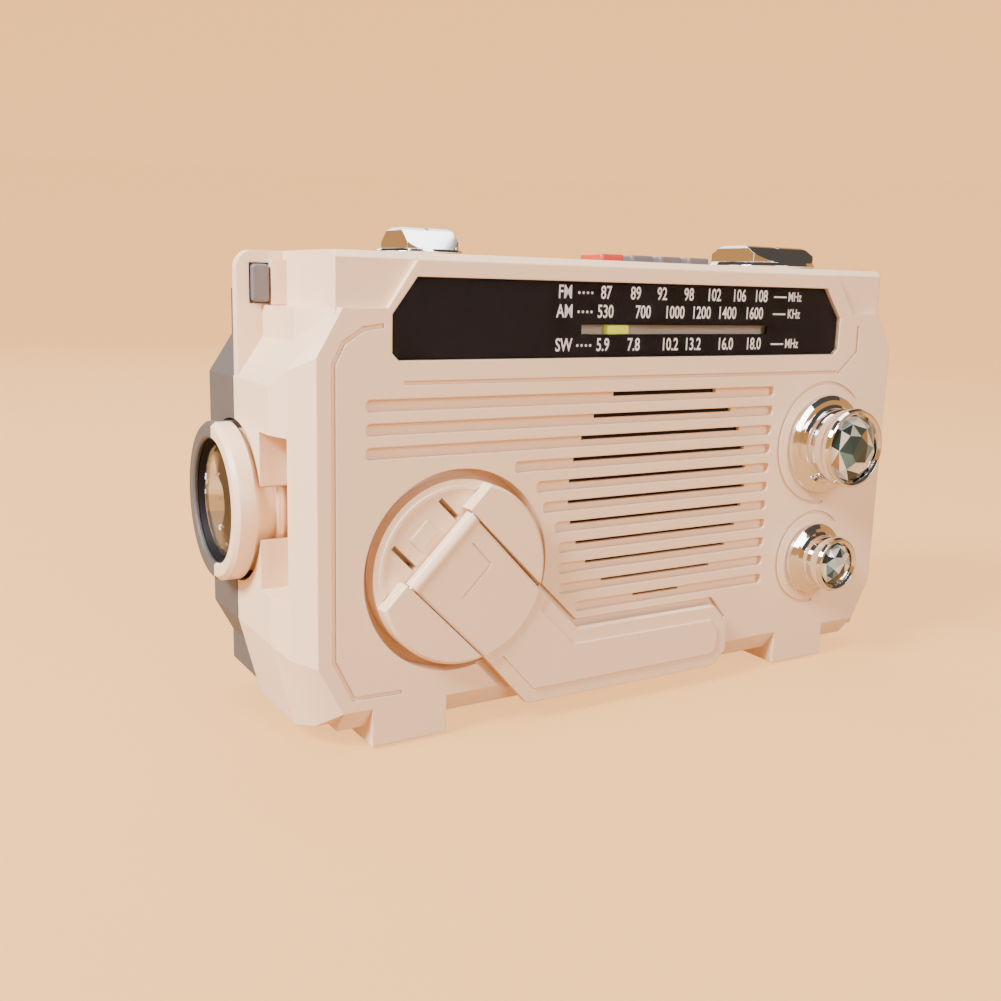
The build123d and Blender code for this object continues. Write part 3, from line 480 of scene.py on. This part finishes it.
class RADIO_OT_finishes(bpy.types.Operator):
    """Make every finish and lay it on the frame's own parts"""
    bl_idname = "radio.finishes"
    bl_label = "Finishes"

    def execute(self, context):
        moulded_group()
        brushed_group()
        ink = colours()
        made = MATERIALS
        made["beige_plastic"] = moulded("champagne_shell", ink.case, rough=0.36, drift=0.03, wear=0.16,
                                        grain=0.05, Coat_Weight=0.25, Coat_Roughness=0.18)
        made["dark_plastic"] = moulded("grey_shell", ink.rear, rough=0.46, drift=0.12, wear=0.06, grain=0.45)
        made["black_plastic"] = moulded("dial_black", ink.dial, rough=0.55, rough_spread=0.02, drift=0.03,
                                        wear=0.0, grain=0.05, edge=FINE_EDGE, Specular_IOR_Level=0.15)
        made["clear_plastic"] = clear("window_clear", (0.93, 0.93, 0.94), rough=0.03)
        made["chrome"] = metal("bright_chrome", (0.86, 0.84, 0.83), rough=0.06, streaks=0.02,
                               rough_spread=0.03)
        made["gray_plastic"] = moulded("key_grey", ink.grey_key, rough=0.3, wear=0.12, grain=0.1)
        made["red_plastic"] = moulded("key_red", ink.red_key, rough=0.3, wear=0.1, grain=0.1)
        # the pointer glows in its own colour, though it is no lamp: painted glow
        made["pointer_plastic"] = moulded("pointer_lime_painted_glow", ink.pointer, rough=0.35, wear=0.0, edge=FINE_EDGE,
                                          Emission_Color=(*ink.pointer, 1.0), Emission_Strength=0.35)
        made["light_bar_plastic"] = moulded("milky_strip", ink.light_bar, rough=0.4, wear=0.0, edge=FINE_EDGE)
        made["nylon"] = moulded("natural_nylon", (0.72, 0.68, 0.56), rough=0.5, wear=0.05, edge=FINE_EDGE,
                                Subsurface_Weight=0.1)
        made["steel"] = metal("turned_steel", (0.55, 0.54, 0.53), rough=0.28, streaks=0.4)
        made["brass"] = metal("turned_brass", (0.72, 0.50, 0.20), rough=0.25, streaks=0.4)
        made["rubber"] = moulded("black_rubber", (0.03, 0.03, 0.03), rough=0.75, wear=0.05, grain=0.6,
                                 grain_scale=1800.0)
        made["cloth"] = woven("grille_weave", (0.012, 0.011, 0.011))
        made["paper"] = moulded("cone_pulp", (0.035, 0.035, 0.037), rough=0.85, grain=0.8, grain_scale=1500.0)
        made["ferrite"] = moulded("ferrite_black", (0.05, 0.05, 0.055), rough=0.6, grain=0.4)
        made["board"] = moulded("green_board", (0.02, 0.13, 0.045), rough=0.35, drift=0.2, wear=0.0,
                                edge=FINE_EDGE)
        made["component"] = moulded("component_black", (0.02, 0.02, 0.022), rough=0.45, grain=0.2,
                                    edge=FINE_EDGE)
        made["cell_sleeve"] = moulded("cell_blue", (0.03, 0.10, 0.30), rough=0.3, drift=0.08, edge=FINE_EDGE)
        made["silver"] = metal("reflector_silver", (0.94, 0.93, 0.92), rough=0.05, streaks=0.0,
                               rough_spread=0.02)
        made["solar"] = striped("solar_cells", (0.008, 0.012, 0.05), (0.22, 0.24, 0.28), 75.0, 0.985)
        for part in frame["record"]["subparts"]:
            piece = frame["nodes"][part["node"]]
            piece.data.materials.clear()
            piece.data.materials.append(made[part["material_slot"]])
        made["lens"] = clear("torch_lens", (0.97, 0.98, 0.99), rough=0.02)
        frame["nodes"]["light_lens"].data.materials[0] = made["lens"]
        made["window"] = clear("dial_pane", (0.96, 0.96, 0.97), rough=0.0, spread_by=0.01, IOR=1.08)
        frame["nodes"]["dial_window"].data.materials[0] = made["window"]
        # stone finish whose facet colours are painted reflections and glints
        made["jewel"] = faceted("cut_stone_painted_reflections")
        # the print glows faintly in its own colour, though it is no lamp: painted light on the pale ink
        made["print"] = moulded("dial_print", ink.print_ink, rough=0.45, wear=0.0, drift=0.02,
                                edge=SHARP_EDGE,
                                Emission_Color=(*ink.print_ink, 1.0), Emission_Strength=0.12)
        return {"FINISHED"}


# Dial figures: text and its place along the dial (mm, in the frame's X)
DIAL_ROWS = (
    (99.6, ((-18.4, "FM"), (-7.0, "87"), (1.6, "89"), (9.5, "92"), (17.8, "98"), (25.8, "102"),
            (34.1, "106"), (41.5, "108"), (53.4, "MHz"))),
    (95.3, ((-18.4, "AM"), (-7.0, "530"), (4.0, "700"), (13.6, "1000"), (22.0, "1200"), (30.4, "1400"),
            (39.5, "1600"), (53.4, "KHz"))),
    (87.7, ((-18.4, "SW"), (-7.4, "5.9"), (1.6, "7.8"), (12.6, "10.2"), (19.8, "13.2"), (30.4, "16.0"),
            (39.9, "18.0"), (53.4, "MHz"))),
)
DIAL_DOTS = (-14.6, -13.4, -12.2, -11.0)
DIAL_DASH = (46.0, 50.4)
DOT_RADIUS = 0.32 * MM
DASH_HALF = 0.2 * MM
UNIT_SHARE = 0.8             # height of the units' letters, as a share of the figures'


class RADIO_OT_dial_print(bpy.types.Operator):
    """Print the bands and their figures on the dial plate"""
    bl_idname = "radio.dial_print"
    bl_label = "Dial print"

    def execute(self, context):
        size = sizes()
        y = front_of("dial_scale") - size.ink / 2
        marks = []
        for z, figures in DIAL_ROWS:
            for x, text in figures:
                tall = size.letter * (UNIT_SHARE if text in ("MHz", "KHz") else 1.0)
                marks.append(lettering(text, (x * MM, y, z * MM), tall, size.ink))
            for x in DIAL_DOTS:
                marks.append(softened(disc((x * MM, y, z * MM), DOT_RADIUS, size.ink, sides=12), size.ink / 4))
            dash = plate((DIAL_DASH[0] * MM, y - size.ink / 2, z * MM - DASH_HALF),
                         (DIAL_DASH[1] * MM, y + size.ink / 2, z * MM + DASH_HALF))
            marks.append(softened(dash, size.ink / 4))
        named(joined(marks), "dial_print", "case", MATERIALS["print"])
        return {"FINISHED"}


# Stones: the knob insert, its body and the seed of its painted facet reflections
STONES = (("tuning_jewel", "tuning", 5), ("volume_jewel", "volume", 11))
FACET_SHARE = 0.42           # share of the dome's triangles kept as facets


class RADIO_OT_stones(bpy.types.Operator):
    """Cut the faceted stones set in the two front knobs"""
    bl_idname = "radio.stones"
    bl_label = "Knob stones"

    def execute(self, context):
        for name, body, seed in STONES:
            low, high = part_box(name)
            middle = (low + high) / 2
            deselect()
            bpy.ops.mesh.primitive_ico_sphere_add(subdivisions=3, radius=1.0,
                                                  location=(middle.x, high.y, middle.z))
            stone = bpy.context.object
            stone.scale = ((high.x - low.x) / 2, (high.y - low.y) * 0.99, (high.z - low.z) / 2)
            apply_place(stone)
            bpy.ops.object.mode_set(mode="EDIT")
            bpy.ops.mesh.select_all(action="SELECT")
            bpy.ops.mesh.bisect(plane_co=(0, high.y - 0.05 * MM, 0), plane_no=(0, 1, 0), clear_outer=True,
                                use_fill=True)
            bpy.ops.object.mode_set(mode="OBJECT")
            apply_modifier(stone, "DECIMATE", ratio=FACET_SHARE)
            # each facet gets a painted reflection colour
            paint_facet_reflections(stone, seed)
            named(stone, name + "_cut", body, MATERIALS["jewel"])
            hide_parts(name)
        return {"FINISHED"}


EMITTER_RADIUS = 2.4 * MM
EMITTER_FLATNESS = 0.8
EMITTER_SINK = 0.2 * MM


class RADIO_OT_torch_led(bpy.types.Operator):
    """Add the emitter dome at the root of the torch's reflector"""
    bl_idname = "radio.torch_led"
    bl_label = "Torch emitter"

    def execute(self, context):
        middle = centre("light_board")
        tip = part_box("light_board")[0].x
        deselect()
        bpy.ops.mesh.primitive_uv_sphere_add(segments=32, ring_count=16, radius=EMITTER_RADIUS,
                                             location=(tip, middle.y, middle.z))
        dome = bpy.context.object
        dome.scale = (EMITTER_FLATNESS, 1, 1)
        apply_place(dome)
        bpy.ops.object.mode_set(mode="EDIT")
        bpy.ops.mesh.select_all(action="SELECT")
        bpy.ops.mesh.bisect(plane_co=(tip + EMITTER_SINK, 0, 0), plane_no=(1, 0, 0), clear_outer=True,
                            use_fill=True)
        bpy.ops.object.mode_set(mode="OBJECT")
        glow = moulded("emitter_yellow", (0.85, 0.62, 0.12), rough=0.25, wear=0.0, edge=SHARP_EDGE)
        named(dome, "torch_emitter", "case", glow, smooth=40)
        return {"FINISHED"}


CELLS = 6
GAP_WIDTH = 0.7 * MM
BAR_WIDTH = 0.8 * MM


def bus_bar(x0, x1, z0, z1, back, rise):
    """Flat bar on the panel's face, sunk a little into it."""
    bar = plate((x0, back - 0.02 * MM, z0), (x1, back + rise, z1))
    return softened(bar, 0.015 * MM)


class RADIO_OT_solar_bars(bpy.types.Operator):
    """Lay the bus bars and the gaps between cells on the solar panel"""
    bl_idname = "radio.solar_bars"
    bl_label = "Solar bus bars"

    def execute(self, context):
        low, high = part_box("solar_panel")
        back = high.y
        bars = []
        pitch = (high.x - low.x) / CELLS
        for k in range(1, CELLS):
            x = low.x + pitch * k
            bars.append(bus_bar(x - GAP_WIDTH / 2, x + GAP_WIDTH / 2, low.z + 1.5 * MM, high.z - 1.5 * MM,
                                back, 0.04 * MM))
        for share in (0.3, 0.7):
            z = low.z + (high.z - low.z) * share
            bars.append(bus_bar(low.x + 2 * MM, high.x - 2 * MM, z - BAR_WIDTH / 2, z + BAR_WIDTH / 2,
                                back, 0.05 * MM))
        named(joined(bars), "solar_bars", "case", MATERIALS["steel"])
        return {"FINISHED"}


# Lights: name, place (m), power (W), size (m)
LIGHTS = (("key_light", (-1.1, -0.2, 0.95), 62.0, 0.4), ("front_light", (0.1, -1.2, 0.6), 13.0, 0.6),
          ("top_light", (0.1, 0.15, 1.1), 9.0, 0.7), ("side_light", (-1.1, 0.35, 0.35), 5.0, 0.5),
          ("back_light", (0.3, 1.1, 0.7), 7.0, 0.9))
LIT_POINT = (0, 0, 0.055)
FLOOR_SHARE = 0.25           # share of the floor's colour that reflects light
FLOOR_GLOW = (0.6, 1.9)      # its own light as the object sees it, and as the camera does
SKY_TINT, SKY_STRENGTH = (1.0, 0.86, 0.72, 1.0), 0.1
CAMERA_PLACE = (-0.16021, -0.22559, 0.10079)
CAMERA_AHEAD = (0.5113, 0.8374, -0.1933)
CAMERA_UP = (0.0783, 0.1785, 0.9808)


def backdrop(radius):
    """Flat floor that curves up into a round wall."""
    deselect()
    height = radius * 0.68
    bpy.ops.mesh.primitive_uv_sphere_add(segments=96, ring_count=48, radius=radius, location=(0, 0, height))
    bowl = apply_place(bpy.context.object)
    bpy.ops.object.mode_set(mode="EDIT")
    bpy.ops.mesh.select_all(action="SELECT")
    bpy.ops.mesh.bisect(plane_co=(0, 0, height * 0.7), plane_no=(0, 0, 1), clear_outer=True)
    bpy.ops.mesh.select_all(action="SELECT")
    bpy.ops.mesh.bisect(plane_co=(0, 0, 0), plane_no=(0, 0, 1), clear_inner=True, use_fill=True)
    bpy.ops.mesh.bevel(offset=radius * 0.25, segments=14, affect="EDGES")
    bpy.ops.mesh.select_all(action="SELECT")
    bpy.ops.mesh.flip_normals()
    bpy.ops.object.mode_set(mode="OBJECT")
    bpy.ops.object.shade_smooth_by_angle(angle=radians(40))
    return bowl


class RADIO_OT_stage(bpy.types.Operator):
    """Set out the floor, the soft lights and the camera"""
    bl_idname = "radio.stage"
    bl_label = "Stage"

    def execute(self, context):
        floor = backdrop(sizes().floor / 2)
        floor.name = "floor"
        lit = [c * FLOOR_SHARE for c in colours().floor]
        paint = moulded("floor_paint", lit, rough=0.9, drift=0.01, wear=0.0, grain=0.0,
                        Emission_Color=(*colours().floor, 1.0))
        tree = paint.node_tree
        seen = node(tree, "LightPath").outputs["Is Camera Ray"]
        glow = spread(tree, seen, *FLOOR_GLOW)
        tree.links.new(glow, tree.nodes["Principled BSDF"].inputs["Emission Strength"])
        floor.data.materials.append(paint)
        middle = Vector(LIT_POINT)
        for name, place, power, size in LIGHTS:
            deselect()
            bpy.ops.object.light_add(type="AREA", location=place)
            light = bpy.context.object
            light.name = name
            light.data.energy = power
            light.data.size = size
            light.rotation_euler = (middle - Vector(place)).to_track_quat("-Z", "Y").to_euler()
        world = bpy.data.worlds.new("studio")
        context.scene.world = world
        world.use_nodes = True
        sky = world.node_tree.nodes["Background"]
        sky.inputs["Color"].default_value = SKY_TINT
        sky.inputs["Strength"].default_value = SKY_STRENGTH
        deselect()
        bpy.ops.object.camera_add(location=CAMERA_PLACE)
        camera = bpy.context.object
        camera.name = "camera"
        ahead = Vector(CAMERA_AHEAD).normalized()
        up = Vector(CAMERA_UP)
        right = ahead.cross(up).normalized()
        up = right.cross(ahead)
        turn = Matrix((right, up, -ahead)).transposed().to_4x4()
        camera.matrix_world = Matrix.Translation(camera.location) @ turn
        camera.data.lens = sizes().lens
        camera.data.sensor_width = 36.0
        camera.data.clip_start = 0.01
        context.scene.camera = camera
        return {"FINISHED"}


class RADIO_PT_panel(bpy.types.Panel):
    bl_label = "Emergency Radio"
    bl_idname = "RADIO_PT_panel"
    bl_space_type = "VIEW_3D"
    bl_region_type = "UI"
    bl_category = "Radio"

    def draw(self, context):
        for step in STEPS:
            self.layout.operator(step.bl_idname)
        for group in (colours(), sizes()):
            for name in group.__annotations__:
                self.layout.prop(group, name)


STEPS = (RADIO_OT_finishes, RADIO_OT_dial_print, RADIO_OT_stones, RADIO_OT_torch_led, RADIO_OT_solar_bars,
         RADIO_OT_stage)
CLASSES = (RADIO_PG_colours, RADIO_PG_sizes, *STEPS, RADIO_PT_panel)


def register():
    for kind in CLASSES:
        bpy.utils.register_class(kind)
    bpy.types.Scene.radio_colours = bpy.props.PointerProperty(type=RADIO_PG_colours)
    bpy.types.Scene.radio_sizes = bpy.props.PointerProperty(type=RADIO_PG_sizes)


def unregister():
    del bpy.types.Scene.radio_colours
    del bpy.types.Scene.radio_sizes
    for kind in reversed(CLASSES):
        bpy.utils.unregister_class(kind)


def main():
    register()
    for step in STEPS:
        group, name = step.bl_idname.split(".")
        getattr(getattr(bpy.ops, group), name)()


if __name__ == "__main__":
    main()
